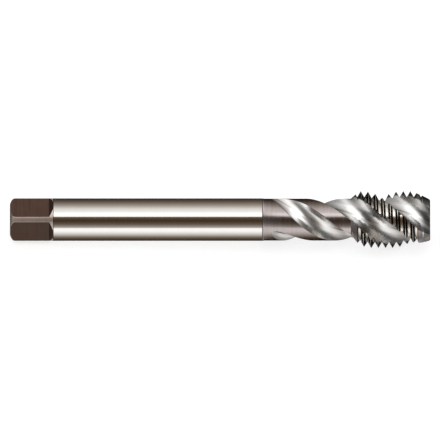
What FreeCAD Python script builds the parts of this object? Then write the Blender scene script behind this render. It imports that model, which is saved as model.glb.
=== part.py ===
"""Machine tap, M12 x 1.5, with three right-hand spiral flutes, lying on a flat surface.

The tap is drawn along its own axis, +X from the square drive end to the cutting end, and is
then laid down: it touches the surface with the crests of its thread and with the shank just
behind the square. Units are millimetres and degrees.
"""

import FreeCAD
import Part
import math
import os

import Sketcher

NODE = "thread_tap"

# Each size by its name: the value, and what it measures on the tap.
SIZES = {
    "total_length": (89.0, "drive end to cutting end"),
    "shank_radius": (4.5, "ground shank"),
    "neck_radius": (4.44, "fluted neck, a little under the shank"),
    "neck_length": (18.4, "step at the shank to the foot of the thread's rear bevel"),
    "end_chamfer_length": (0.75, "bevel round the drive end, along the axis"),
    "end_chamfer_height": (0.8, "the same bevel, across the axis"),
    "square_width": (7.1, "across the flats of the square"),
    "square_length": (8.3, "drive end to the end of the flats"),
    "square_ramp": (45.0, "slope at which each flat runs out to the shank"),
    "drive_pilot_radius": (0.8, "centre hole in the drive end"),
    "drive_pilot_depth": (3.5, "its depth"),
    "drive_cone_radius": (1.68, "mouth of its cone"),
    "tip_pilot_radius": (0.62, "centre hole in the cutting end"),
    "tip_pilot_depth": (2.8, "its depth"),
    "tip_cone_radius": (1.3, "mouth of its cone"),
    "centre_slope": (30.0, "half angle of both centre cones"),
    "thread_radius": (6.0, "over the crests of the thread"),
    "thread_length": (16.8, "cutting end back to the foot of the thread's rear bevel"),
    "rear_slope": (43.0, "rear bevel of the thread, from the axis"),
    "lead_length": (3.85, "tapered cutting lead at the tip"),
    "lead_slope": (23.0, "its half angle"),
    "tip_rounding": (0.3, "rounded corner at the cutting end"),
    "thread_pitch": (1.5, "crest to crest"),
    "crest_flat": (0.06, "flat left on each crest"),
    "thread_slope": (30.0, "half angle of the thread's V"),
    "groove_setback": (0.35, "thread groove's first centre, behind the rear bevel"),
    "flute_lead": (37.0, "length of one full turn of a flute"),
    "flute_count": (3, "flutes and lands round the tap"),
    "flute_phase": (-4.7, "turn of a flute's middle from the side, where full depth starts"),
    "flute_floor_radius": (4.0, "rounding of a flute's floor and cutting face"),
    "web_radius": (2.37, "core left between the flutes"),
    "heel_slope": (45.0, "slope of a flute's straight side, the heel"),
    "runout_gap": (1.7, "step at the shank to the shallow end of each flute"),
    "runout_length": (6.0, "shallowing end of each flute, up to its full depth"),
    "cutter_clearance": (1.0, "how far each cut is drawn past the metal"),
    "rest_roll": (5.06, "turn of the square from level where the tap comes to rest"),
    "rest_sink": (0.153, "how much lower the thread rests than a full round would"),
}

# Places along the tap from the drive end, as formulas in the sizes.
THREAD_START = "(dims.total_length - dims.thread_length)"
THREAD_REAR = f"({THREAD_START} + (dims.thread_radius - dims.neck_radius) / tan(dims.rear_slope))"
NECK_START = f"({THREAD_START} - dims.neck_length)"
FLUTE_START = f"({NECK_START} + dims.runout_gap + dims.runout_length)"


def add_sizes(doc):
    """Adds the sheet that holds the driving sizes."""
    sheet = doc.addObject("Spreadsheet::Sheet", "dims")
    for row, (name, (value, meaning)) in enumerate(SIZES.items(), start=1):
        sheet.set(f"A{row}", meaning)
        sheet.set(f"B{row}", str(value))
        sheet.setAlias(f"B{row}", name)
    doc.recompute()
    return sheet


def origin_plane(body, role):
    """One of the body's own base planes."""
    return next(item for item in body.Origin.OriginFeatures if item.Role == role)


def add_sketch(body, name, role):
    """An empty sketch on one of the body's base planes."""
    sketch = body.newObject("Sketcher::SketchObject", name)
    sketch.AttachmentSupport = [(origin_plane(body, role), "")]
    sketch.MapMode = "FlatFace"
    return sketch


def pin(sketch, curve, end, axis, name, formula):
    """Holds one end of a curve at a signed distance from the origin, along X or Y."""
    if formula == "0":
        across = {"X": -2, "Y": -1}[axis]
        sketch.addConstraint(Sketcher.Constraint("PointOnObject", curve, end, across))
        return
    kind = "Distance" + axis
    if formula.startswith("-"):
        formula = formula[1:]
        index = sketch.addConstraint(Sketcher.Constraint(kind, curve, end, -1, 1, 1.0))
    else:
        index = sketch.addConstraint(Sketcher.Constraint(kind, -1, 1, curve, end, 1.0))
    label = f"{name}_{axis.lower()}"
    sketch.renameConstraint(index, label)
    sketch.setExpression(f"Constraints.{label}", formula)


def add_outline(sketch, corners):
    """Draws a closed outline of straight lines through corners, each pinned by its formulas.

    corners is a list of (name, formula along the sketch's X, formula along its Y).
    """
    count = len(corners)
    for index in range(count):
        start = FreeCAD.Vector(index + 1, index * index, 0)
        after = (index + 1) % count
        stop = FreeCAD.Vector(after + 1, after * after, 0)
        sketch.addGeometry(Part.LineSegment(start, stop), False)
    for index in range(count):
        after = (index + 1) % count
        sketch.addConstraint(Sketcher.Constraint("Coincident", index, 2, after, 1))
    for index, (name, along, across) in enumerate(corners):
        pin(sketch, index, 1, "X", name, along)
        pin(sketch, index, 1, "Y", name, across)


def add_blank(body):
    """The turned blank: shank, neck, thread blank, bevels and both centre holes."""
    drive_cone = "(dims.drive_cone_radius - dims.drive_pilot_radius) / tan(dims.centre_slope)"
    tip_cone = "(dims.tip_cone_radius - dims.tip_pilot_radius) / tan(dims.centre_slope)"
    lead_drop = "dims.lead_length * tan(dims.lead_slope)"
    sketch = add_sketch(body, "blank_outline", "XY_Plane")
    add_outline(sketch, [
        ("drive_pilot_floor", "dims.drive_pilot_depth", "0"),
        ("drive_pilot_wall", "dims.drive_pilot_depth", "dims.drive_pilot_radius"),
        ("drive_cone_foot", drive_cone, "dims.drive_pilot_radius"),
        ("drive_cone_mouth", "0", "dims.drive_cone_radius"),
        ("drive_face", "0", "dims.shank_radius - dims.end_chamfer_height"),
        ("drive_bevel", "dims.end_chamfer_length", "dims.shank_radius"),
        ("shank_end", NECK_START, "dims.shank_radius"),
        ("neck_start", NECK_START, "dims.neck_radius"),
        ("neck_end", THREAD_START, "dims.neck_radius"),
        ("thread_rear", THREAD_REAR, "dims.thread_radius"),
        ("lead_start", "dims.total_length - dims.lead_length", "dims.thread_radius"),
        ("tip_corner", "dims.total_length", f"dims.thread_radius - {lead_drop}"),
        ("tip_cone_mouth", "dims.total_length", "dims.tip_cone_radius"),
        ("tip_cone_foot", f"dims.total_length - {tip_cone}", "dims.tip_pilot_radius"),
        ("tip_pilot_wall", "dims.total_length - dims.tip_pilot_depth", "dims.tip_pilot_radius"),
        ("tip_pilot_floor", "dims.total_length - dims.tip_pilot_depth", "0"),
    ])
    blank = body.newObject("PartDesign::Revolution", "blank")
    blank.Profile = sketch
    blank.ReferenceAxis = (sketch, ["H_Axis"])
    blank.Angle = 360
    body.Tip = blank
    body.Document.recompute()
    return blank


def add_tip_rounding(body, blank):
    """Rounds the corner between the tapered lead and the cutting end's face."""
    face_edges = {
        f"Edge{number}": edge.Curve.Radius
        for number, edge in enumerate(blank.Shape.Edges, start=1)
        if isinstance(edge.Curve, Part.Circle)
        and abs(edge.Curve.Center.x - body.Document.dims.total_length) < 1e-6
    }
    corner = max(face_edges, key=face_edges.get)
    rounding = body.newObject("PartDesign::Fillet", "tip_rounding")
    rounding.Base = (blank, [corner])
    rounding.setExpression("Radius", "dims.tip_rounding")
    body.Tip = rounding


def add_square(body):
    """Mills the four flats of the drive square, each with its ramp out to the shank."""
    flat = "dims.square_width / 2"
    top = "dims.shank_radius + dims.cutter_clearance"
    ramp = f"({top} - {flat}) / tan(dims.square_ramp)"
    sketch = add_sketch(body, "flat_outline", "XZ_Plane")
    add_outline(sketch, [
        ("flat_front", "-dims.cutter_clearance", flat),
        ("flat_end", "dims.square_length", flat),
        ("ramp_end", f"dims.square_length + {ramp}", top),
        ("cut_corner", "-dims.cutter_clearance", top),
    ])
    flat_cut = body.newObject("PartDesign::Pocket", "flat")
    flat_cut.Profile = sketch
    flat_cut.Type = "ThroughAll"
    flat_cut.Midplane = True
    body.Tip = flat_cut
    flats = body.newObject("PartDesign::PolarPattern", "flats")
    flats.Originals = [flat_cut]
    flats.Axis = (sketch, ["H_Axis"])
    flats.Angle = 360
    flats.Occurrences = 4
    body.Tip = flats


def flute_section(body):
    """Draws a flute's section across the tap: one arc for cutting face and floor, a straight heel.

    The sketch's X runs outwards through the flute's middle. The cutting face is on the -Y side.
    """
    sheet = body.Document.dims
    sketch = add_sketch(body, "flute_section", "YZ_Plane")
    turn = "rotation(vector(0; 0; 1); dims.flute_phase)"
    sketch.setExpression("AttachmentOffset", f"placement(vector(0; 0; {FLUTE_START}); {turn})")
    floor_centre = sheet.web_radius + sheet.flute_floor_radius
    heel_angle = math.radians(90 + sheet.heel_slope)
    outer = sheet.thread_radius + sheet.cutter_clearance
    along_tap = FreeCAD.Vector(0, 0, 1)
    circle = Part.Circle(FreeCAD.Vector(floor_centre, 0, 0), along_tap, sheet.flute_floor_radius)
    arc = Part.ArcOfCircle(circle, heel_angle, math.radians(270))
    face_end = arc.EndPoint
    heel_foot = arc.StartPoint
    heel_end = FreeCAD.Vector(outer, heel_foot.y + outer - heel_foot.x, 0)
    face_outer = FreeCAD.Vector(outer, face_end.y, 0)
    sketch.addGeometry(arc, False)
    sketch.addGeometry(Part.LineSegment(face_end, face_outer), False)
    sketch.addGeometry(Part.LineSegment(face_outer, heel_end), False)
    sketch.addGeometry(Part.LineSegment(heel_end, heel_foot), False)
    floor, face, mouth, heel = range(4)
    sketch.addConstraint(Sketcher.Constraint("Coincident", floor, 2, face, 1))
    sketch.addConstraint(Sketcher.Constraint("Coincident", face, 2, mouth, 1))
    sketch.addConstraint(Sketcher.Constraint("Coincident", mouth, 2, heel, 1))
    sketch.addConstraint(Sketcher.Constraint("Coincident", heel, 2, floor, 1))
    pin(sketch, floor, 3, "X", "floor_centre", "dims.web_radius + dims.flute_floor_radius")
    pin(sketch, floor, 3, "Y", "floor_centre", "0")
    radius = sketch.addConstraint(Sketcher.Constraint("Radius", floor, sheet.flute_floor_radius))
    sketch.renameConstraint(radius, "floor_radius")
    sketch.setExpression("Constraints.floor_radius", "dims.flute_floor_radius")
    sketch.addConstraint(Sketcher.Constraint("Vertical", floor, 3, floor, 2))
    sketch.addConstraint(Sketcher.Constraint("Horizontal", face))
    sketch.addConstraint(Sketcher.Constraint("Vertical", mouth))
    heel_x = "dims.web_radius + dims.flute_floor_radius * (1 - sin(dims.heel_slope))"
    heel_rise = "dims.flute_floor_radius * cos(dims.heel_slope)"
    heel_run = f"(dims.thread_radius + dims.cutter_clearance - ({heel_x})) * tan(dims.heel_slope)"
    pin(sketch, floor, 1, "X", "heel_foot", heel_x)
    pin(sketch, mouth, 2, "X", "mouth", "dims.thread_radius + dims.cutter_clearance")
    pin(sketch, mouth, 2, "Y", "mouth", f"{heel_rise} + {heel_run}")
    return sketch


def cut_flutes(body, section, name, length, reverse=False, opening="0"):
    """Cuts one stretch of a flute from its section, and repeats it round the tap.

    length and opening are formulas: how far the stretch runs along the tap, and the angle at which
    its spiral widens over one whole turn.
    """
    stretch = body.newObject("PartDesign::SubtractiveHelix", name)
    stretch.Profile = section
    stretch.ReferenceAxis = (section, ["N_Axis"])
    stretch.Mode = "pitch-height-angle"
    stretch.Reversed = reverse
    stretch.setExpression("Pitch", "dims.flute_lead")
    stretch.setExpression("Height", length)
    stretch.setExpression("Angle", opening)
    body.Tip = stretch
    body.Document.recompute()
    stretches = body.newObject("PartDesign::PolarPattern", name + "s")
    stretches.Originals = [stretch]
    stretches.Axis = (section, ["N_Axis"])
    stretches.Angle = 360
    stretches.setExpression("Occurrences", "dims.flute_count")
    body.Tip = stretches
    body.Document.recompute()


def add_flutes(body):
    """Cuts the spiral flutes: full depth to the tip, and a run-out that climbs from the core."""
    section = flute_section(body)
    full_length = f"dims.total_length - {FLUTE_START} + dims.cutter_clearance"
    climb = "atan((dims.neck_radius - dims.web_radius) / dims.flute_lead)"
    cut_flutes(body, section, "flute", full_length)
    cut_flutes(body, section, "flute_runout", "dims.runout_length", reverse=True, opening=climb)


def add_thread(body):
    """Cuts the right-hand thread groove, which leaves rows of teeth on the lands."""
    half_width = "(dims.thread_pitch - dims.crest_flat) / 2"
    centre = f"{THREAD_START} - dims.groove_setback"
    root = f"dims.thread_radius - {half_width} / tan(dims.thread_slope)"
    outer = "dims.thread_radius + dims.cutter_clearance"
    sketch = add_sketch(body, "groove_section", "XY_Plane")
    add_outline(sketch, [
        ("groove_root", centre, root),
        ("rear_crest", f"{centre} - {half_width}", "dims.thread_radius"),
        ("rear_outer", f"{centre} - {half_width}", outer),
        ("front_outer", f"{centre} + {half_width}", outer),
        ("front_crest", f"{centre} + {half_width}", "dims.thread_radius"),
    ])
    groove = body.newObject("PartDesign::SubtractiveHelix", "thread")
    groove.Profile = sketch
    groove.ReferenceAxis = (sketch, ["H_Axis"])
    groove.Mode = "pitch-height-angle"
    groove.Angle = 0
    groove.setExpression("Pitch", "dims.thread_pitch")
    groove.setExpression("Height", f"dims.total_length - ({centre}) + dims.thread_pitch")
    body.Tip = groove


def lay_down(body):
    """Lays the tap on the surface as it comes to rest, on the thread and the end of the shank.

    A flute faces down, with a tooth of the land on either side of it on the surface, and the
    shank touches just behind the square. The thread is thicker than the shank, so the cutting
    end lies a little higher.
    """
    rear = "dims.square_length + (dims.shank_radius - dims.square_width / 2) / tan(dims.square_ramp)"
    drop = "dims.thread_radius - dims.rest_sink - dims.shank_radius"
    tilt = f"atan(({drop}) / ({THREAD_REAR} - ({rear})))"
    along = f"-dims.total_length / 2 * cos({tilt})"
    height = f"dims.shank_radius * cos({tilt}) - ({rear}) * sin({tilt})"
    turn = f"rotation(vector(0; -1; 0); {tilt}) * rotation(vector(1; 0; 0); dims.rest_roll)"
    body.setExpression("Placement", f"placement(vector({along}; 0; {height}); {turn})")


def check(doc, body):
    """Stops unless every object was built and the tap is one sound solid."""
    for item in doc.Objects:
        if "Invalid" in item.State or "Error" in item.State:
            raise RuntimeError(f"{item.Name} wasn't built: {item.State}")
    if body.Shape.isNull() or not body.Shape.isValid():
        raise RuntimeError(f"{body.Label} has no sound shape")
    if len(body.Shape.Solids) != 1:
        raise RuntimeError(f"{body.Label} has {len(body.Shape.Solids)} solids")


def main():
    """Builds the tap and writes its shape."""
    doc = FreeCAD.newDocument("spiral_tap")
    add_sizes(doc)
    body = doc.addObject("PartDesign::Body", NODE)
    body.Label = NODE
    blank = add_blank(body)
    add_tip_rounding(body, blank)
    add_square(body)
    add_flutes(body)
    add_thread(body)
    lay_down(body)
    doc.recompute()
    check(doc, body)
    os.makedirs("parts", exist_ok=True)
    body.Shape.exportStep(f"parts/{NODE}.step")
    print(NODE, "volume", round(body.Shape.Volume, 2), "box", body.Shape.BoundBox)


main()
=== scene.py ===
"""Machine tap, M12 x 1.5, with spiral flutes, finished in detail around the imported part.

The tap is turned, milled and ground in millimetres along its own axis, +X from the square drive
end to the cutting end. It is then laid on the floor, in metres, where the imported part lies.
"""

import logging
import math
from dataclasses import dataclass
from enum import Enum, IntEnum

import bmesh
import bpy
from mathutils import Matrix, Vector

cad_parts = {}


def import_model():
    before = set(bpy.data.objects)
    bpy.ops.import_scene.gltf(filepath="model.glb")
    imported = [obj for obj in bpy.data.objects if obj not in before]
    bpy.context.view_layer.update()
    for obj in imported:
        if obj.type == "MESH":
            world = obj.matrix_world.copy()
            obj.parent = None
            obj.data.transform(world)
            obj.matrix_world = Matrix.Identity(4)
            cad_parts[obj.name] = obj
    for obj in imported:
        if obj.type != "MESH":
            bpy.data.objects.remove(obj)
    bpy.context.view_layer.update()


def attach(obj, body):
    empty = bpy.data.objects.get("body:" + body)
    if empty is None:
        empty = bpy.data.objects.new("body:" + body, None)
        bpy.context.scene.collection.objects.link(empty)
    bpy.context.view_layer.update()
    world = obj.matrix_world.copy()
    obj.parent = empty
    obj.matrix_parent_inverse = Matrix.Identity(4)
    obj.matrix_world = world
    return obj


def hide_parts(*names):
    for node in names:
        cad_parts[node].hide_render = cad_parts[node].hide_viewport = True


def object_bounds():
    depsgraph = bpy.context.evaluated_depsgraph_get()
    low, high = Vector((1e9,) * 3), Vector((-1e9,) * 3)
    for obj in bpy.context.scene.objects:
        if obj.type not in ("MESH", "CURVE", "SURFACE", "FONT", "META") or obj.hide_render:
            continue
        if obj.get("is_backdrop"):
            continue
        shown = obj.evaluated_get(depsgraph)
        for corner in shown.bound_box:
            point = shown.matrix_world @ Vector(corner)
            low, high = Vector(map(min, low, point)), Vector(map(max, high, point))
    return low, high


LOG = logging.getLogger("thread_tap")

METRES_PER_MM = 0.001
TAP_AXIS = Vector((1.0, 0.0, 0.0))
CAD_NODE = "thread_tap"
PIECE = "spiral_tap"

# Places nearer to each other than this, in millimetres, count as the same place.
SAME_PLACE = 1e-3

Tint = tuple[float, float, float]
Colour = tuple[float, float, float, float]
RampStop = tuple[float, Tint]
NodeValue = bpy.types.NodeSocket | Tint | Colour | float


class Zone(IntEnum):
    """The surfaces of the tap that are finished differently, in the order of their materials."""

    SHANK = 0
    CORNER = 1
    FLAT = 2
    RAMP = 3
    NECK = 4
    FLUTE = 5
    THREAD = 6
    END = 7
    CREST = 8


class Marks(Enum):
    """The way that the fine tool marks of a surface run."""

    ROUND = "round the tap"
    FLUTE = "along the flutes"


@dataclass(frozen=True)
class TapSizes:
    """The driving sizes of the tap, in millimetres and degrees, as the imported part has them."""

    total_length: float = 89.0
    shank_radius: float = 4.5
    neck_radius: float = 4.44
    neck_length: float = 18.4
    end_chamfer_length: float = 0.75
    end_chamfer_height: float = 0.8
    square_width: float = 7.1
    square_length: float = 8.3
    square_ramp: float = 45.0
    drive_pilot_radius: float = 0.8
    drive_pilot_depth: float = 3.5
    drive_cone_radius: float = 1.68
    tip_pilot_radius: float = 0.62
    tip_pilot_depth: float = 2.8
    tip_cone_radius: float = 1.3
    centre_slope: float = 30.0
    thread_radius: float = 6.0
    thread_length: float = 16.8
    rear_slope: float = 43.0
    lead_length: float = 3.85
    lead_slope: float = 23.0
    tip_rounding: float = 0.3
    thread_pitch: float = 1.5
    crest_flat: float = 0.06
    thread_slope: float = 30.0
    groove_setback: float = 0.35
    flute_lead: float = 37.0
    flute_count: int = 3
    flute_phase: float = -4.7
    flute_phase_at: float = 61.5
    flute_floor_radius: float = 4.0
    web_radius: float = 2.37
    heel_slope: float = 45.0
    runout_gap: float = 1.7
    runout_length: float = 9.4
    rest_roll: float = 5.06
    rest_sink: float = 0.153

    @property
    def thread_start(self) -> float:
        """Drive end to the foot of the thread's rear bevel."""
        return self.total_length - self.thread_length

    @property
    def thread_rear(self) -> float:
        """Drive end to the first full crest behind the thread's rear bevel."""
        rise = self.thread_radius - self.neck_radius
        return self.thread_start + rise / math.tan(math.radians(self.rear_slope))

    @property
    def neck_start(self) -> float:
        """Drive end to the step between shank and neck."""
        return self.thread_start - self.neck_length

    @property
    def flute_full(self) -> float:
        """Drive end to where the flutes reach their full depth."""
        return self.neck_start + self.runout_gap + self.runout_length

    @property
    def square_end(self) -> float:
        """Drive end to where the ramps of the square meet the shank."""
        height = self.shank_radius - self.square_width / 2
        return self.square_length + height / math.tan(math.radians(self.square_ramp))

    @property
    def tip_radius(self) -> float:
        """Radius of the cutting end, before its corner is rounded."""
        return self.thread_radius - self.lead_length * math.tan(math.radians(self.lead_slope))

    @property
    def rest_tilt(self) -> float:
        """Slope of the tap's axis as it lies, in radians: the thread is thicker than the shank."""
        drop = self.thread_radius - self.rest_sink - self.shank_radius
        return math.atan(drop / (self.thread_rear - self.square_end))

    def rest_pose(self) -> Matrix:
        """The turn and shift, in millimetres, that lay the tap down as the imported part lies."""
        tilt = self.rest_tilt
        along = -self.total_length / 2 * math.cos(tilt)
        height = self.shank_radius * math.cos(tilt) - self.square_end * math.sin(tilt)
        turn = Matrix.Rotation(-tilt, 4, "Y") @ Matrix.Rotation(math.radians(self.rest_roll), 4, "X")
        return Matrix.Translation((along, 0.0, height)) @ turn


def mesh_object(name: str, shape: bmesh.types.BMesh) -> bpy.types.Object:
    """Puts a finished shape into the scene and frees it.

    Args:
        name: Name of the object and of its mesh.
        shape: The shape, which is used up.

    Returns:
        The new object.
    """
    mesh = bpy.data.meshes.new(name)
    shape.to_mesh(mesh)
    shape.free()
    made = bpy.data.objects.new(name, mesh)
    bpy.context.scene.collection.objects.link(made)
    return made


def outline_edges(shape: bmesh.types.BMesh, corners: list[Vector], closed: bool) -> list[bmesh.types.BMEdge]:
    """Draws straight edges from corner to corner.

    Args:
        shape: The shape to draw in.
        corners: The corners in order.
        closed: Whether the last corner joins the first.

    Returns:
        The new edges.
    """
    verts = [shape.verts.new(corner) for corner in corners]
    pairs = list(zip(verts, verts[1:]))
    if closed:
        pairs.append((verts[-1], verts[0]))
    return [shape.edges.new(pair) for pair in pairs]


def outward(shape: bmesh.types.BMesh, merge_within: float = 1e-5) -> None:
    """Merges doubled corners of a closed shape and turns its faces outwards.

    Args:
        shape: The shape.
        merge_within: Corners nearer than this, in millimetres, become one.
    """
    bmesh.ops.remove_doubles(shape, verts=shape.verts[:], dist=merge_within)
    bmesh.ops.recalc_face_normals(shape, faces=shape.faces[:])


def sweep(shape: bmesh.types.BMesh, loop: list[bmesh.types.BMEdge], places: list[Matrix]) -> None:
    """Sweeps a closed loop of edges through a row of places and closes both ends.

    Args:
        shape: The shape that holds the loop and nothing else.
        loop: The section's edges, drawn where no move is needed to place them.
        places: Where the section goes, in order.
    """
    bmesh.ops.transform(shape, matrix=places[0], verts=shape.verts[:])
    bmesh.ops.edgeloop_fill(shape, edges=loop)
    for before, after in zip(places, places[1:]):
        swept = bmesh.ops.extrude_edge_only(shape, edges=loop)["geom"]
        verts = [item for item in swept if isinstance(item, bmesh.types.BMVert)]
        loop = [item for item in swept if isinstance(item, bmesh.types.BMEdge) and item.is_boundary]
        bmesh.ops.transform(shape, matrix=after @ before.inverted(), verts=verts)
    bmesh.ops.edgeloop_fill(shape, edges=loop)
    outward(shape)


@dataclass(frozen=True)
class TurnedBlank:
    """The tap before milling and grinding: one turned bar with its bevels and centre holes.

    The bevel of the drive end is dark out to the radius corner_from, and bare beyond it, where the
    corners of the square run out. A fine band is coloured dark at the end of the square and at the
    start of the step.
    """

    sizes: TapSizes
    facets: int = 360
    end_softening: float = 0.7
    shank_softening: float = 0.3
    corner_from: float = 3.75
    dark_band_width: float = 0.14
    step_bevel_length: float = 0.39
    softening_steps: int = 5
    tip_steps: int = 8

    @property
    def step_start(self) -> float:
        """Drive end to the small bevel between shank and neck."""
        return self.sizes.neck_start - self.step_bevel_length

    def outline(self) -> list[Vector]:
        """Places the corners of the turned outline.

        Returns:
            The corners, from the drive end's centre hole to the tip's.
        """
        s = self.sizes
        slope = math.tan(math.radians(s.centre_slope))
        drive_cone = (s.drive_cone_radius - s.drive_pilot_radius) / slope
        tip_cone = (s.tip_cone_radius - s.tip_pilot_radius) / slope
        lead_start = s.total_length - s.lead_length
        line_drop = (s.shank_radius - s.neck_radius) * self.dark_band_width / self.step_bevel_length
        return [
            Vector((s.drive_pilot_depth, 0.0, 0.0)),
            Vector((s.drive_pilot_depth, s.drive_pilot_radius, 0.0)),
            Vector((drive_cone, s.drive_pilot_radius, 0.0)),
            Vector((0.0, s.drive_cone_radius, 0.0)),
            Vector((0.0, s.shank_radius - s.end_chamfer_height, 0.0)),
            Vector((s.end_chamfer_length, s.shank_radius, 0.0)),
            Vector((s.square_end - self.dark_band_width, s.shank_radius, 0.0)),
            Vector((s.square_end, s.shank_radius, 0.0)),
            Vector((self.step_start, s.shank_radius, 0.0)),
            Vector((self.step_start + self.dark_band_width, s.shank_radius - line_drop, 0.0)),
            Vector((s.neck_start, s.neck_radius, 0.0)),
            Vector((s.thread_start, s.neck_radius, 0.0)),
            Vector((s.thread_rear, s.thread_radius, 0.0)),
            Vector((lead_start, s.thread_radius, 0.0)),
            Vector((s.total_length, s.tip_radius, 0.0)),
            Vector((s.total_length, s.tip_cone_radius, 0.0)),
            Vector((s.total_length - tip_cone, s.tip_pilot_radius, 0.0)),
            Vector((s.total_length - s.tip_pilot_depth, s.tip_pilot_radius, 0.0)),
            Vector((s.total_length - s.tip_pilot_depth, 0.0, 0.0)),
        ]

    def ring(self, shape: bmesh.types.BMesh, at: float, radius: float) -> list[bmesh.types.BMEdge]:
        """Finds the round edge at a place and radius.

        Args:
            shape: The turned shape.
            at: Distance from the drive end.
            radius: Distance from the axis.

        Returns:
            The short edges that make up the round edge.
        """
        def on_ring(vert: bmesh.types.BMVert) -> bool:
            """Whether a corner lies on the ring."""
            off_place = abs(vert.co.x - at)
            off_radius = abs(vert.co.yz.length - radius)
            return max(off_place, off_radius) < SAME_PLACE

        return [edge for edge in shape.edges if all(on_ring(vert) for vert in edge.verts)]

    def zone_at(self, point: Vector) -> Zone:
        """Tells how the blank's surface is finished at one place.

        Args:
            point: The middle of one of its faces.

        Returns:
            The zone of that face.
        """
        s = self.sizes
        radius = point.yz.length
        at_drive_end = point.x < s.end_chamfer_length and radius < self.corner_from
        in_a_hole = radius < s.drive_cone_radius
        on_tip_face = point.x > s.total_length - SAME_PLACE
        line_ends = (s.square_end, self.step_start + self.dark_band_width)
        on_a_line = any(end - self.dark_band_width < point.x < end for end in line_ends)
        if at_drive_end or in_a_hole or on_tip_face or on_a_line:
            return Zone.END
        if point.x < s.square_end:
            return Zone.CORNER
        if point.x < self.step_start:
            return Zone.SHANK
        on_crests = s.thread_rear < point.x < s.total_length - s.lead_length
        return Zone.CREST if on_crests else Zone.NECK

    def build(self) -> bpy.types.Object:
        """Turns the outline about the tap's axis, rounds the corners and marks the zones.

        Returns:
            The blank as a closed object.
        """
        s = self.sizes
        shape = bmesh.new()
        edges = outline_edges(shape, self.outline(), closed=False)
        bmesh.ops.spin(
            shape, geom=shape.verts[:] + edges, cent=Vector(), axis=TAP_AXIS, dvec=Vector(),
            angle=math.tau, steps=self.facets, use_merge=True,
        )
        outward(shape)
        turn = math.radians(90 - s.lead_slope)
        roundings = [
            (s.total_length, s.tip_radius, s.tip_rounding * math.tan(turn / 2), self.tip_steps),
            (0.0, s.shank_radius - s.end_chamfer_height, self.end_softening, self.softening_steps),
            (s.end_chamfer_length, s.shank_radius, self.shank_softening, self.softening_steps),
        ]
        for at, radius, offset, steps in roundings:
            bmesh.ops.bevel(
                shape, geom=self.ring(shape, at, radius), offset=offset, offset_type="OFFSET",
                segments=steps, profile=0.5, affect="EDGES", material=-1,
            )
        for face in shape.faces:
            face.material_index = self.zone_at(face.calc_center_median())
        return mesh_object("turned_blank", shape)


@dataclass(frozen=True)
class DriveSquare:
    """The milled square on the drive end: four flats, each with a ramp out to the shank."""

    sizes: TapSizes
    clearance: float = 1.0
    sides: int = 4

    def cutter(self, side: int) -> bpy.types.Object:
        """The wedge of metal that one pass of the mill takes off.

        Args:
            side: Which of the four sides, counted round the tap.

        Returns:
            The wedge as a closed object.
        """
        s = self.sizes
        flat = s.square_width / 2
        top = s.shank_radius + self.clearance
        ramp_end = s.square_length + (top - flat) / math.tan(math.radians(s.square_ramp))
        half_width = s.shank_radius + self.clearance
        corners = [
            Vector((-self.clearance, -half_width, flat)),
            Vector((s.square_length, -half_width, flat)),
            Vector((ramp_end, -half_width, top)),
            Vector((-self.clearance, -half_width, top)),
        ]
        shape = bmesh.new()
        side_face = shape.faces.new([shape.verts.new(corner) for corner in corners])
        swept = bmesh.ops.extrude_face_region(shape, geom=[side_face])
        moved = [item for item in swept["geom"] if isinstance(item, bmesh.types.BMVert)]
        bmesh.ops.translate(shape, verts=moved, vec=(0.0, 2 * half_width, 0.0))
        outward(shape)
        for face in shape.faces:
            sloped = face.calc_center_median().x > s.square_length
            face.material_index = Zone.RAMP if sloped else Zone.FLAT
        turn = Matrix.Rotation(math.tau * side / self.sides, 4, TAP_AXIS)
        bmesh.ops.transform(shape, matrix=turn, verts=shape.verts[:])
        return mesh_object(f"square_cutter_{side}", shape)

    def cutters(self) -> list[bpy.types.Object]:
        """The wedges of all four sides."""
        return [self.cutter(side) for side in range(self.sides)]


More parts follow.
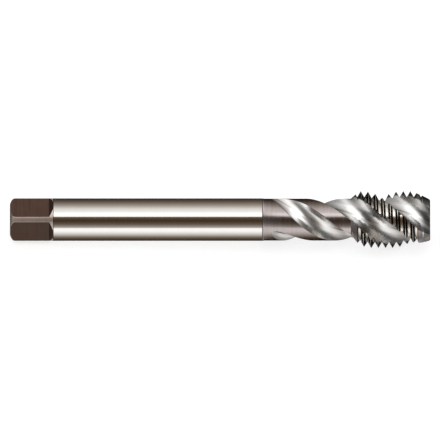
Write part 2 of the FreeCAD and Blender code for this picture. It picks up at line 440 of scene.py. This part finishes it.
@dataclass(frozen=True)
class SpiralFlutes:
    """The ground flutes: a hooked section swept along a right-hand spiral, with a round run-out."""

    sizes: TapSizes
    clearance: float = 1.0
    floor_steps: int = 64
    full_steps: int = 160
    runout_steps: int = 72

    def section(self, shape: bmesh.types.BMesh) -> list[bmesh.types.BMEdge]:
        """Draws the flute's section, opening towards +Y, at the drive end's plane.

        Args:
            shape: The shape to draw in.

        Returns:
            The closed loop of edges.
        """
        s = self.sizes
        centre = Vector((0.0, s.web_radius + s.flute_floor_radius, 0.0))
        face_end = shape.verts.new(centre + Vector((0.0, 0.0, -s.flute_floor_radius)))
        bmesh.ops.spin(
            shape, geom=[face_end], cent=centre, axis=-TAP_AXIS, dvec=Vector(),
            angle=math.radians(90 + s.heel_slope), steps=self.floor_steps,
        )
        ends = [vert for vert in shape.verts if len(vert.link_edges) == 1]
        heel_foot = max(ends, key=lambda vert: vert.co.z)
        outer = s.thread_radius + self.clearance
        rise = (outer - heel_foot.co.y) * math.tan(math.radians(s.heel_slope))
        heel_end = shape.verts.new((0.0, outer, heel_foot.co.z + rise))
        mouth = shape.verts.new((0.0, outer, face_end.co.z))
        shape.edges.new((heel_foot, heel_end))
        shape.edges.new((heel_end, mouth))
        shape.edges.new((mouth, face_end))
        return shape.edges[:]

    def lift(self, behind: float) -> float:
        """How far the grinding wheel has climbed out of the metal.

        Args:
            behind: Distance behind the place of full depth, towards the shank.

        Returns:
            The climb across the tap, which follows the round of the wheel.
        """
        s = self.sizes
        depth = s.neck_radius - s.web_radius
        wheel = (s.runout_length ** 2 + depth ** 2) / (2 * depth)
        return wheel - math.sqrt(wheel ** 2 - behind ** 2)

    def place(self, at: float, index: int) -> Matrix:
        """Where the flute's section stands at one place along the tap.

        Args:
            at: Distance from the drive end.
            index: Which flute, counted round the tap.

        Returns:
            The turn, shift and climb of the section.
        """
        s = self.sizes
        turn = math.radians(s.flute_phase) + math.tau * index / s.flute_count
        turn += math.tau * (at - s.flute_phase_at) / s.flute_lead
        climb = self.lift(max(0.0, s.flute_full - at))
        return (
            Matrix.Translation((at, 0.0, 0.0))
            @ Matrix.Rotation(turn, 4, TAP_AXIS)
            @ Matrix.Translation((0.0, climb, 0.0))
        )

    def cutter(self, index: int) -> bpy.types.Object:
        """The metal that one flute takes out, from beyond the tip to clear of the neck.

        Args:
            index: Which flute, counted round the tap.

        Returns:
            That metal as a closed object.
        """
        s = self.sizes
        front = s.total_length + self.clearance
        rear = s.flute_full - s.runout_length - s.runout_gap
        full = [front + (s.flute_full - front) * n / self.full_steps for n in range(self.full_steps)]
        step = (rear - s.flute_full) / self.runout_steps
        runout = [s.flute_full + step * n for n in range(self.runout_steps + 1)]
        shape = bmesh.new()
        sweep(shape, self.section(shape), [self.place(at, index) for at in full + runout])
        for face in shape.faces:
            face.material_index = Zone.FLUTE
        return mesh_object(f"flute_cutter_{index}", shape)

    def cutters(self) -> list[bpy.types.Object]:
        """The cutters of all the flutes."""
        return [self.cutter(index) for index in range(self.sizes.flute_count)]


@dataclass(frozen=True)
class ThreadGroove:
    """The ground thread: a V groove that winds right-handed round the cutting end."""

    sizes: TapSizes
    clearance: float = 1.0
    steps_per_turn: int = 160

    def cutter(self) -> bpy.types.Object:
        """The wound V of metal that the grinding wheel takes out.

        Returns:
            That metal as a closed object.
        """
        s = self.sizes
        half_width = (s.thread_pitch - s.crest_flat) / 2
        root = s.thread_radius - half_width / math.tan(math.radians(s.thread_slope))
        centre = s.thread_start - s.groove_setback
        outer = s.thread_radius + self.clearance
        turns = math.ceil((s.total_length - centre) / s.thread_pitch) + 1
        shape = bmesh.new()
        edges = outline_edges(shape, [
            Vector((centre, root, 0.0)),
            Vector((centre + half_width, s.thread_radius, 0.0)),
            Vector((centre + half_width, outer, 0.0)),
            Vector((centre - half_width, outer, 0.0)),
            Vector((centre - half_width, s.thread_radius, 0.0)),
        ], closed=True)
        start_cap = bmesh.ops.edgeloop_fill(shape, edges=edges)["faces"]
        steps = turns * self.steps_per_turn
        bmesh.ops.spin(
            shape, geom=start_cap + edges + shape.verts[:], cent=Vector(), axis=TAP_AXIS,
            dvec=TAP_AXIS * (s.thread_pitch / self.steps_per_turn), angle=math.tau * turns, steps=steps,
        )
        outward(shape)
        for face in shape.faces:
            face.material_index = Zone.THREAD
        return mesh_object("thread_cutter", shape)


def carve(body: bpy.types.Object, cutter: bpy.types.Object) -> None:
    """Takes a cutter out of the body, for good, and removes the cutter.

    Args:
        body: The object that loses metal.
        cutter: The closed object to take out of it.
    """
    cut = body.modifiers.new("cut", "BOOLEAN")
    cut.operation = "DIFFERENCE"
    cut.solver = "EXACT"
    cut.object = cutter
    cut.material_mode = "INDEX"
    for part in (body, cutter):
        while len(part.data.materials) < len(Zone):
            part.data.materials.append(None)
    whole = body.data
    carved = bpy.data.meshes.new_from_object(body.evaluated_get(bpy.context.evaluated_depsgraph_get()))
    body.modifiers.clear()
    body.data = carved
    bpy.data.meshes.remove(whole)
    spent = cutter.data
    bpy.data.objects.remove(cutter)
    bpy.data.meshes.remove(spent)


def grey(light: float) -> Colour:
    """A colour with no tint, from black at 0 to white at 1."""
    return (light, light, light, 1.0)


class NodeSheet:
    """A node tree, with short calls that add nodes and join them."""

    def __init__(self, tree: bpy.types.NodeTree) -> None:
        """Starts from an empty tree."""
        self.tree = tree
        tree.nodes.clear()

    def add(
        self,
        kind: str,
        settings: dict[str, str] | None = None,
        inputs: dict[str | int, NodeValue] | None = None,
    ) -> bpy.types.Node:
        """Adds one node.

        Args:
            kind: The node's type.
            settings: Its own properties, by name.
            inputs: Its inputs, by name or number: a value, or an output to join.

        Returns:
            The node.
        """
        node = self.tree.nodes.new(kind)
        for name, value in (settings or {}).items():
            setattr(node, name, value)
        for name, value in (inputs or {}).items():
            if isinstance(value, bpy.types.NodeSocket):
                self.tree.links.new(value, node.inputs[name])
            else:
                node.inputs[name].default_value = value
        return node

    def math(self, operation: str, *values: NodeValue) -> bpy.types.NodeSocket:
        """Works out one sum of values and outputs, and gives its output."""
        return self.add("ShaderNodeMath", {"operation": operation}, dict(enumerate(values))).outputs[0]

    def along(self, place: bpy.types.NodeSocket) -> bpy.types.NodeSocket:
        """The X part of a place."""
        return self.add("ShaderNodeSeparateXYZ", inputs={0: place}).outputs["X"]

    def off_middle(self, noise: bpy.types.NodeSocket, change: float) -> bpy.types.NodeSocket:
        """Turns a noise of 0 to 1 into a change of minus to plus the given size."""
        return self.math("MULTIPLY", self.math("SUBTRACT", noise, 0.5), change * 2)

    def mix_colour(
        self, first: NodeValue, second: NodeValue, share: bpy.types.NodeSocket
    ) -> bpy.types.NodeSocket:
        """Mixes two colours, each a value or an output, by the share of the second."""
        return self.add("ShaderNodeMix", {"data_type": "RGBA"}, {
            "Factor": share, 6: first, 7: second,
        }).outputs[2]

    def step(self, value: bpy.types.NodeSocket, start: float, stop: float) -> bpy.types.NodeSocket:
        """Rises softly from 0 at start to 1 at stop, which may be the lower of the two."""
        return self.add("ShaderNodeMapRange", {"interpolation_type": "SMOOTHSTEP"}, {
            "Value": value, "From Min": start, "From Max": stop,
        }).outputs[0]

    def blend(
        self, first: NodeValue, second: NodeValue, share: bpy.types.NodeSocket
    ) -> bpy.types.NodeSocket:
        """Mixes two tints, each a value or an output, by the share of the second."""
        return self.add("ShaderNodeMix", {"data_type": "VECTOR"}, {
            "Factor": share, 4: first, 5: second,
        }).outputs[1]

    def ramp(self, factor: bpy.types.NodeSocket, stops: list[RampStop]) -> bpy.types.NodeSocket:
        """Turns a factor into colour through a ramp.

        Args:
            factor: Where to read the ramp, 0 to 1.
            stops: Places on the ramp with their colours, in order.

        Returns:
            The colour output.
        """
        node = self.add("ShaderNodeValToRGB", inputs={"Fac": factor})
        elements = node.color_ramp.elements
        elements[0].position, elements[0].color = stops[0][0], (*stops[0][1], 1.0)
        elements[1].position, elements[1].color = stops[-1][0], (*stops[-1][1], 1.0)
        for place, colour in stops[1:-1]:
            elements.new(place).color = (*colour, 1.0)
        return node.outputs["Color"]


@dataclass(frozen=True)
class PaintedLightSpot:
    """A soft spot of painted light: painted highlight where it is brighter than the steel round it, painted
    shade where it is darker, in millimetres in the tap's own frame.

    Its tint is whole out to half its radius, and fades out from there.
    """

    centre: tuple[float, float, float]
    radius: float
    tint: Tint

    def spread(self, sheet: NodeSheet, place: bpy.types.NodeSocket) -> bpy.types.NodeSocket:
        """The share of the stain's tint at a place."""
        away = sheet.add("ShaderNodeVectorMath", {"operation": "DISTANCE"}, {
            0: place, 1: self.centre,
        }).outputs["Value"]
        return sheet.step(away, self.radius, self.radius / 2)


@dataclass(frozen=True)
class SteelFinish:
    """A finish of steel: its tint, its gloss, and fine marks that vary both a little.

    Other tints come in by place. cloud_tint comes in soft clouds. root_painted_glint, a painted glint, is
    whole within root_radius, and rim_painted_shade, painted shade, beyond rim_radius. edge_painted_highlight
    is a painted highlight along the edges of the square, as wide as edge_highlight_width. tip_painted_shade,
    painted shade, comes in towards the cutting end, over the distances tip_fade behind it. Last come the
    stains, soft spots of painted highlight and painted shade. Lengths are in millimetres.
    """

    name: str
    tint: Tint
    roughness: float
    metallic: float = 1.0
    edge_gloss: float = 1.0
    marks: Marks = Marks.ROUND
    marks_per_mm: float = 8.0
    marks_stretch: float = 40.0
    marks_detail: float = 3.0
    marks_fineness: float = 0.6
    marks_depth: float = 0.15
    marks_relief: float = 0.01
    tint_change: float = 0.12
    roughness_change: float = 0.08
    cloud_per_mm: float = 0.35
    cloud_detail: float = 2.0
    cloud_change: float = 0.1
    cloud_edge: tuple[float, float] = (0.42, 0.62)
    cloud_tint: Tint | None = None
    root_painted_glint: Tint | None = None
    rim_painted_shade: Tint | None = None
    edge_painted_highlight: Tint | None = None
    tip_painted_shade: Tint | None = None
    rim_radius: float = 5.36
    root_radius: float = 5.05
    edge_highlight_width: float = 0.15
    tip_fade: tuple[float, float] = (3.0, 0.8)
    painted_light_spots: tuple[PaintedLightSpot, ...] = ()

    def material(self, sizes: TapSizes) -> bpy.types.Material:
        """Makes the material.

        Args:
            sizes: The tap's sizes, which say where its axis lies and how steep its flutes are.

        Returns:
            The node material.
        """
        made = bpy.data.materials.new(self.name)
        made.use_nodes = True
        sheet = NodeSheet(made.node_tree)
        to_tap = sizes.rest_pose().inverted()
        place = sheet.add("ShaderNodeMapping", inputs={
            "Vector": sheet.add("ShaderNodeTexCoord").outputs["Object"],
            "Location": to_tap.to_translation(),
            "Rotation": to_tap.to_euler(),
            "Scale": (1 / METRES_PER_MM,) * 3,
        }).outputs[0]
        lines = self.tool_marks(sheet, place, sizes)
        cloud = sheet.add("ShaderNodeTexNoise", inputs={
            "Vector": place, "Scale": self.cloud_per_mm, "Detail": self.cloud_detail,
        }).outputs["Fac"]
        change = sheet.math(
            "ADD", sheet.off_middle(lines, self.tint_change), sheet.off_middle(cloud, self.cloud_change)
        )
        tint = sheet.add("ShaderNodeVectorMath", {"operation": "SCALE"}, {
            0: self.tint_at(sheet, place, cloud, sizes), "Scale": sheet.math("ADD", change, 1.0),
        }).outputs[0]
        gloss = sheet.math("ADD", sheet.off_middle(lines, self.roughness_change), self.roughness)
        relief = sheet.add("ShaderNodeBump", inputs={
            "Height": lines, "Strength": self.marks_depth, "Distance": self.marks_relief * METRES_PER_MM,
        }).outputs[0]
        steel = sheet.add("ShaderNodeBsdfPrincipled", inputs={
            "Base Color": tint, "Roughness": gloss, "Metallic": self.metallic, "Normal": relief,
            "Specular Tint": grey(self.edge_gloss),
        })
        sheet.add("ShaderNodeOutputMaterial", inputs={"Surface": steel.outputs[0]})
        return made

    def tool_marks(
        self, sheet: NodeSheet, place: bpy.types.NodeSocket, sizes: TapSizes
    ) -> bpy.types.NodeSocket:
        """Draws fine tool marks, as noise that is stretched along them.

        Args:
            sheet: The material's nodes.
            place: The place on the tap, in millimetres.
            sizes: The tap's sizes, which say how steep its flutes are.

        Returns:
            The noise, 0 to 1.
        """
        across = self.marks_per_mm
        along = self.marks_per_mm / self.marks_stretch
        scale = (across, along, along)
        if self.marks is Marks.FLUTE:
            unwind = sheet.math("MULTIPLY", sheet.along(place), -math.tau / sizes.flute_lead)
            place = sheet.add("ShaderNodeVectorRotate", {"rotation_type": "X_AXIS"}, {
                "Vector": place, "Angle": unwind,
            }).outputs[0]
            scale = (along, across, across)
        stretched = sheet.add("ShaderNodeMapping", inputs={"Vector": place, "Scale": scale}).outputs[0]
        return sheet.add("ShaderNodeTexNoise", inputs={
            "Vector": stretched, "Scale": 1.0, "Detail": self.marks_detail,
            "Roughness": self.marks_fineness,
        }).outputs["Fac"]

    def tint_at(
        self, sheet: NodeSheet, place: bpy.types.NodeSocket, cloud: bpy.types.NodeSocket, sizes: TapSizes
    ) -> NodeValue:
        """Blends the finish's tints by where they belong.

        Args:
            sheet: The material's nodes.
            place: The place on the tap, in millimetres.
            cloud: Soft noise, 0 to 1.
            sizes: The tap's sizes.

        Returns:
            The tint, as an output, or as a plain value where the finish has only one.
        """
        base: NodeValue = self.tint
        if self.cloud_tint is not None:
            base = sheet.blend(base, self.cloud_tint, sheet.step(cloud, *self.cloud_edge))
        # By radius: root_painted_glint paints a glint at the roots, and rim_painted_shade paints shade on
        # the outer rim.
        if self.root_painted_glint is not None or self.rim_painted_shade is not None:
            across = sheet.add("ShaderNodeVectorMath", {"operation": "MULTIPLY"}, {
                0: place, 1: (0.0, 1.0, 1.0),
            }).outputs[0]
            radius = sheet.add("ShaderNodeVectorMath", {"operation": "LENGTH"}, {0: across}).outputs["Value"]
            rootward = sheet.step(radius, self.rim_radius, self.root_radius)
            if self.root_painted_glint is not None:
                base = sheet.blend(base, self.root_painted_glint, rootward)
            if self.rim_painted_shade is not None:
                base = sheet.blend(self.rim_painted_shade, base, rootward)
        # edge_painted_highlight paints a highlight along the edges of the square.
        if self.edge_painted_highlight is not None:
            off_axis = sheet.add("ShaderNodeVectorMath", {"operation": "ABSOLUTE"}, {0: place}).outputs[0]
            sides = sheet.add("ShaderNodeSeparateXYZ", inputs={0: off_axis}).outputs
            furthest = sheet.math("MAXIMUM", sides["Y"], sides["Z"])
            flat = sizes.square_width / 2
            base = sheet.blend(base, self.edge_painted_highlight, sheet.step(furthest, flat - self.edge_highlight_width, flat))
        # tip_painted_shade paints shade towards the cutting end.
        if self.tip_painted_shade is not None:
            start, stop = (sizes.total_length - behind for behind in self.tip_fade)
            base = sheet.blend(base, self.tip_painted_shade, sheet.step(sheet.along(place), start, stop))
        # The stains paint highlights and shade in soft spots.
        for spot in self.painted_light_spots:
            base = sheet.blend(base, spot.tint, spot.spread(sheet, place))
        return base


FINISHES: dict[Zone, SteelFinish] = {
    Zone.SHANK: SteelFinish(
        "polished_shank", tint=(0.66, 0.65, 0.63), roughness=0.10, marks_per_mm=10.0, marks_depth=0.04,
        tint_change=0.03, roughness_change=0.02, cloud_change=0.03,
    ),
    # edge_painted_highlight here is a painted highlight along the edges of the square.
    Zone.CORNER: SteelFinish(
        "ground_corner", tint=(0.44, 0.35, 0.295), roughness=0.5, marks_per_mm=6.0, marks_depth=0.3,
        tint_change=0.4, roughness_change=0.1, cloud_change=0.2, edge_painted_highlight=(0.72, 0.65, 0.58),
    ),
    Zone.FLAT: SteelFinish(
        "oxide_flat", tint=(0.086, 0.036, 0.019), roughness=0.5, metallic=0.3, marks_per_mm=5.0,
        marks_depth=0.5, tint_change=0.8, roughness_change=0.2, cloud_tint=(0.080, 0.040, 0.020),
    ),
    Zone.RAMP: SteelFinish(
        "oxide_ramp", tint=(0.040, 0.022, 0.014), roughness=0.5, metallic=0.7, marks_per_mm=3.0,
        marks_depth=0.3, tint_change=0.5, roughness_change=0.1,
    ),
    # The two stains of the neck's finish are painted shade on the lead cone.
    Zone.NECK: SteelFinish(
        "ground_neck", tint=(0.375, 0.335, 0.325), roughness=0.18, edge_gloss=0.4, marks_per_mm=7.0,
        marks_depth=0.2, marks_relief=0.015, tint_change=0.25, roughness_change=0.1, cloud_change=0.08,
        painted_light_spots=(
            PaintedLightSpot((88.1, 1.1, 4.5), 2.4, (0.08, 0.085, 0.08)),
            PaintedLightSpot((87.9, -4.9, -0.4), 2.2, (0.24, 0.23, 0.22)),
        ),
    ),
    # Painted light in the flutes: rim_painted_shade and tip_painted_shade are painted shade on the outer rim
    # and towards the cutting end, the first three stains are painted highlights and the last three painted
    # shade.
    Zone.FLUTE: SteelFinish(
        "ground_flute", tint=(0.70, 0.70, 0.695), roughness=0.22, edge_gloss=0.5, marks=Marks.FLUTE,
        marks_per_mm=4.0, marks_depth=0.1, tint_change=0.16, roughness_change=0.1,
        cloud_tint=(0.67, 0.64, 0.62), rim_painted_shade=(0.10, 0.10, 0.095), tip_painted_shade=(0.25, 0.25, 0.245),
        painted_light_spots=(
            PaintedLightSpot((61.3, -1.7, 2.6), 3.4, (0.95, 0.95, 0.945)),
            PaintedLightSpot((72.6, -0.8, 3.1), 2.8, (0.84, 0.84, 0.835)),
            PaintedLightSpot((84.5, -0.7, 3.2), 2.8, (0.82, 0.82, 0.815)),
            PaintedLightSpot((76.2, -4.3, -0.5), 3.2, (0.38, 0.35, 0.32)),
            PaintedLightSpot((64.2, -3.8, -0.2), 1.6, (0.40, 0.37, 0.34)),
            PaintedLightSpot((75.6, -1.2, 2.2), 1.6, (0.45, 0.45, 0.46)),
        ),
    ),
    # Painted light in the thread: the dark tint of the flanks is painted shade, and root_painted_glint is a
    # painted glint at the roots.
    Zone.THREAD: SteelFinish(
        "ground_thread", tint=(0.10, 0.104, 0.095), roughness=0.13, edge_gloss=0.3, marks_per_mm=9.0,
        marks_depth=0.1, roughness_change=0.04, root_painted_glint=(0.98, 0.95, 0.91),
    ),
    Zone.END: SteelFinish(
        "oxide_end", tint=(0.042, 0.032, 0.029), roughness=0.45, metallic=0.6, marks_per_mm=4.0,
        marks_depth=0.3, tint_change=0.4, roughness_change=0.1,
    ),
    Zone.CREST: SteelFinish(
        "ground_crest", tint=(0.92, 0.91, 0.89), roughness=0.2, marks_per_mm=9.0, roughness_change=0.06,
    ),
}


@dataclass(frozen=True)
class ThreadTap:
    """The whole tap: the turned blank with its square, flutes and thread cut, laid on the floor.

    Edges that turn by more than sharp_above, in degrees, are shaded sharp. Corners that the cuts
    leave nearer to each other than merge_within, in millimetres, become one.
    """

    sizes: TapSizes
    sharp_above: float = 12.0
    merge_within: float = 1e-4

    def build(self) -> bpy.types.Object:
        """Cuts, dresses and lays down the tap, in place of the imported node.

        Returns:
            The finished tap.
        """
        tap = TurnedBlank(self.sizes).build()
        tap.name = PIECE
        square = DriveSquare(self.sizes).cutters()
        flutes = SpiralFlutes(self.sizes).cutters()
        for cutter in [*square, *flutes, ThreadGroove(self.sizes).cutter()]:
            label = cutter.name
            carve(tap, cutter)
            LOG.info("%s taken out: %d faces left", label, len(tap.data.polygons))
        self.smooth(tap)
        self.dress(tap)
        tap.data.name = PIECE
        tap.data.transform(Matrix.Scale(METRES_PER_MM, 4) @ self.sizes.rest_pose())
        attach(tap, "root")
        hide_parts(CAD_NODE)
        return tap

    def smooth(self, tap: bpy.types.Object) -> None:
        """Merges doubled corners, and shades smooth between sharp edges and edges of zones.

        Args:
            tap: The carved tap, still in millimetres along its own axis.
        """
        shape = bmesh.new()
        shape.from_mesh(tap.data)
        outward(shape, self.merge_within)
        limit = math.radians(self.sharp_above)
        for edge in shape.edges:
            zones = {face.material_index for face in edge.link_faces}
            edge.smooth = len(zones) == 1 and edge.calc_face_angle(math.pi) < limit
        for face in shape.faces:
            face.smooth = True
        shape.to_mesh(tap.data)
        shape.free()

    def dress(self, tap: bpy.types.Object) -> None:
        """Gives the tap one material for each zone, in the order of the zones."""
        for zone in Zone:
            tap.data.materials[zone] = FINISHES[zone].material(self.sizes)


@dataclass(frozen=True)
class LightRing:
    """Soft bands of light in a ring round the tap's axis.

    Each band is an angle in degrees, from the front through overhead, and the light there. A warmth
    of its own may follow. Warmth says how much browner the light gets below white, where it has no
    tint. The ramp holds shares of the brightest light.
    """

    bands: tuple[tuple[float, ...], ...]
    warmth: float = 0.02
    white: float = 1.5
    brightest: float = 2.4
    seam: float = -180.0

    def stops(self) -> list[RampStop]:
        """Turns the bands into stops of a ramp that starts at the seam: the darker, the browner.

        Returns:
            The stops, in order.
        """
        stops: list[RampStop] = []
        for angle, light, *own_warmth in self.bands:
            warmth = own_warmth[0] if own_warmth else self.warmth
            shade = min(1.0, light / self.white)
            colour = tuple(light / self.brightest * shade ** power for power in (0.0, warmth, 2 * warmth))
            stops.append(((angle - self.seam) / 360.0, colour))
        return stops


MIDDLE_RING = LightRing(warmth=0.11, bands=(
    (-180.0, 0.065), (-110.0, 0.065), (-95.0, 0.085), (-83.0, 0.145), (-73.0, 0.25), (-64.0, 0.43),
    (-55.0, 0.67), (-36.0, 1.20), (-27.0, 1.45), (-12.0, 1.50), (-8.0, 1.30), (-5.0, 0.62),
    (2.0, 0.42), (13.0, 0.19), (24.0, 0.11, 0.15), (34.0, 0.07, 0.20), (45.0, 0.105, 0.19),
    (54.5, 0.18, 0.17), (58.0, 1.60), (65.0, 2.20), (72.0, 2.20), (77.0, 1.50), (89.0, 1.20),
    (101.0, 1.05), (113.0, 0.70), (127.0, 0.43), (143.0, 0.25), (162.0, 0.12), (176.0, 0.08),
))
SIDE_RING = LightRing((
    (-180.0, 0.15), (-135.0, 0.30), (-116.0, 0.95), (-98.0, 1.15), (-86.0, 0.50), (-70.0, 0.72),
    (-52.0, 1.10), (-38.0, 1.20), (-20.0, 1.30), (-8.0, 1.15), (2.0, 0.65), (10.0, 0.38), (22.0, 0.20),
    (42.0, 0.15), (52.0, 0.22), (64.0, 0.80), (76.0, 1.35), (90.0, 1.60), (104.0, 1.45), (120.0, 1.05),
    (135.0, 0.78), (150.0, 0.50), (176.0, 0.18),
))
TIP_RING = LightRing((
    (-180.0, 0.10), (-120.0, 0.35), (-105.0, 0.55), (-90.0, 0.35), (-75.0, 0.38), (-60.0, 0.60),
    (-45.0, 0.75), (-30.0, 0.62), (-15.0, 0.35), (0.0, 0.20), (30.0, 0.18), (45.0, 0.28),
    (60.0, 0.38), (75.0, 0.33), (90.0, 0.22), (110.0, 0.14), (176.0, 0.10),
))
DRIVE_RING = LightRing((
    (-180.0, 0.12), (-120.0, 0.12), (-60.0, 0.20), (-25.0, 0.36), (0.0, 0.46), (30.0, 0.50),
    (50.0, 0.52), (62.0, 0.80), (80.0, 1.20), (95.0, 1.15), (108.0, 0.78), (122.0, 0.45),
    (160.0, 0.38), (176.0, 0.18),
))


@dataclass(frozen=True)
class Studio:
    """Floor, surroundings and camera, with the tap seen as the photograph shows it.

    The middle ring of light gives way to the others towards the tap's ends. Each pair named for a
    ring, or for the dark card beyond the tip, says at which X part of a direction it begins to show
    and at which it is whole. The bands lean with X by band_lean degrees, between the two limits.
    """

    sizes: TapSizes
    view_elevation: float = 39.94
    picture_size: float = 440.0
    picture_drive_end: float = 9.9
    picture_tip: float = 430.2
    picture_axis: float = 219.6
    camera_distance: float = 0.6
    camera_range: tuple[float, float] = (0.01, 10.0)
    floor_size: float = 3.0
    floor_lift: float = 0.8
    floor_grey: float = 0.4
    band_lean: float = 35.0
    lean_between: tuple[float, float] = (-0.3, 0.65)
    side_ring_at: tuple[float, float] = (0.05, 0.16)
    drive_ring_at: tuple[float, float] = (-0.60, -0.85)
    tip_ring_at: tuple[float, float] = (0.52, 0.68)
    tip_card_at: tuple[float, float] = (0.70, 0.92)
    tip_card: float = 0.05

    def build(self) -> None:
        """Makes the floor, the light of the room and the camera."""
        self.floor()
        self.room()
        self.camera()
        bpy.context.scene.view_settings.view_transform = "Standard"

    def floor(self) -> None:
        """A plain pale floor, white where nothing shades it."""
        shape = bmesh.new()
        bmesh.ops.create_grid(shape, x_segments=1, y_segments=1, size=self.floor_size / 2)
        floor = mesh_object("floor", shape)
        made = bpy.data.materials.new("pale_floor")
        made.use_nodes = True
        sheet = NodeSheet(made.node_tree)
        path = sheet.add("ShaderNodeLightPath")
        lift = sheet.math("MULTIPLY", path.outputs["Is Camera Ray"], self.floor_lift)
        glow = sheet.add("ShaderNodeEmission", inputs={"Color": grey(1.0), "Strength": lift})
        paint = sheet.add("ShaderNodeBsdfDiffuse", inputs={"Color": grey(self.floor_grey)})
        both = sheet.add("ShaderNodeAddShader", inputs={0: glow.outputs[0], 1: paint.outputs[0]})
        clear = sheet.add("ShaderNodeBsdfTransparent")
        mirrored = sheet.math("MAXIMUM", path.outputs["Is Glossy Ray"], path.outputs["Is Transmission Ray"])
        shown = sheet.add("ShaderNodeMixShader", inputs={
            0: mirrored, 1: both.outputs[0], 2: clear.outputs[0],
        })
        sheet.add("ShaderNodeOutputMaterial", inputs={"Surface": shown.outputs[0]})
        floor.data.materials.append(made)
        floor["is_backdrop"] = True

    def room(self) -> None:
        """The light of the room: bands round the tap's axis, from the floor's edge to overhead."""
        world = bpy.data.worlds.new("studio_room")
        bpy.context.scene.world = world
        world.use_nodes = True
        sheet = NodeSheet(world.node_tree)
        direction = sheet.add("ShaderNodeTexCoord").outputs["Generated"]
        parts = sheet.add("ShaderNodeSeparateXYZ", inputs={0: direction}).outputs
        front = sheet.math("MULTIPLY", parts["Y"], -1.0)
        upright = sheet.math("ARCTAN2", parts["Z"], front)
        x = parts["X"]
        rear_limit, tip_limit = self.lean_between
        near_middle = sheet.math("MINIMUM", sheet.math("MAXIMUM", x, rear_limit), tip_limit)
        lean = sheet.math("MULTIPLY", near_middle, math.radians(self.band_lean))
        angle = sheet.math("SUBTRACT", upright, lean)
        seam = math.radians(MIDDLE_RING.seam)
        place = sheet.math("DIVIDE", sheet.math("SUBTRACT", angle, seam), math.tau)
        colour = sheet.ramp(place, MIDDLE_RING.stops())
        for ring, share in (
            (SIDE_RING, sheet.step(sheet.math("ABSOLUTE", x), *self.side_ring_at)),
            (DRIVE_RING, sheet.step(x, *self.drive_ring_at)),
            (TIP_RING, sheet.step(x, *self.tip_ring_at)),
        ):
            colour = sheet.mix_colour(colour, sheet.ramp(place, ring.stops()), share)
        colour = sheet.mix_colour(colour, grey(self.tip_card), sheet.step(x, *self.tip_card_at))
        path = sheet.add("ShaderNodeLightPath")
        room = sheet.add("ShaderNodeBackground", inputs={"Color": colour, "Strength": MIDDLE_RING.brightest})
        white = sheet.add("ShaderNodeBackground", inputs={"Color": grey(1.0), "Strength": 1.0})
        shown = sheet.add("ShaderNodeMixShader", inputs={
            0: path.outputs["Is Camera Ray"], 1: room.outputs[0], 2: white.outputs[0],
        })
        sheet.add("ShaderNodeOutputWorld", inputs={"Surface": shown.outputs[0]})

    def camera(self) -> None:
        """An unforeshortening camera square to the tap's axis, framed as the photograph is."""
        s = self.sizes
        pose = s.rest_pose()
        pixels_per_mm = (self.picture_tip - self.picture_drive_end) / s.total_length
        middle = Matrix.Scale(METRES_PER_MM, 4) @ pose @ Vector((s.total_length / 2, 0.0, 0.0))
        right = (pose.to_3x3() @ TAP_AXIS).normalized()
        side = Vector((0.0, 1.0, 0.0))
        upward = right.cross(side)
        height = math.radians(self.view_elevation)
        back = -side * math.cos(height) + upward * math.sin(height)
        top = back.cross(right)
        data = bpy.data.cameras.new("studio_camera")
        data.type = "ORTHO"
        data.ortho_scale = self.picture_size / pixels_per_mm * METRES_PER_MM
        data.clip_start, data.clip_end = self.camera_range
        metres_per_pixel = METRES_PER_MM / pixels_per_mm
        centre = self.picture_size / 2
        across = centre - (self.picture_drive_end + self.picture_tip) / 2
        down = self.picture_axis - centre
        aim = middle + right * across * metres_per_pixel + top * down * metres_per_pixel
        camera = bpy.data.objects.new("studio_camera", data)
        turn = Matrix((right, top, back)).transposed().to_4x4()
        camera.matrix_world = Matrix.Translation(aim + back * self.camera_distance) @ turn
        bpy.context.scene.collection.objects.link(camera)
        bpy.context.scene.camera = camera


def corners() -> list[list[float]]:
    """The lowest and the highest corner of what is shown, as plain lists."""
    return [list(corner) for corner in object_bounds()]


def main() -> None:
    """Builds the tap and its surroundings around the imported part."""
    logging.basicConfig(level=logging.INFO, format="%(name)s: %(message)s")
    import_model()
    sizes = TapSizes()
    tap = ThreadTap(sizes).build()
    LOG.info("%s: %d faces", tap.name, len(tap.data.polygons))
    Studio(sizes).build()


if __name__ == "__main__":
    main()
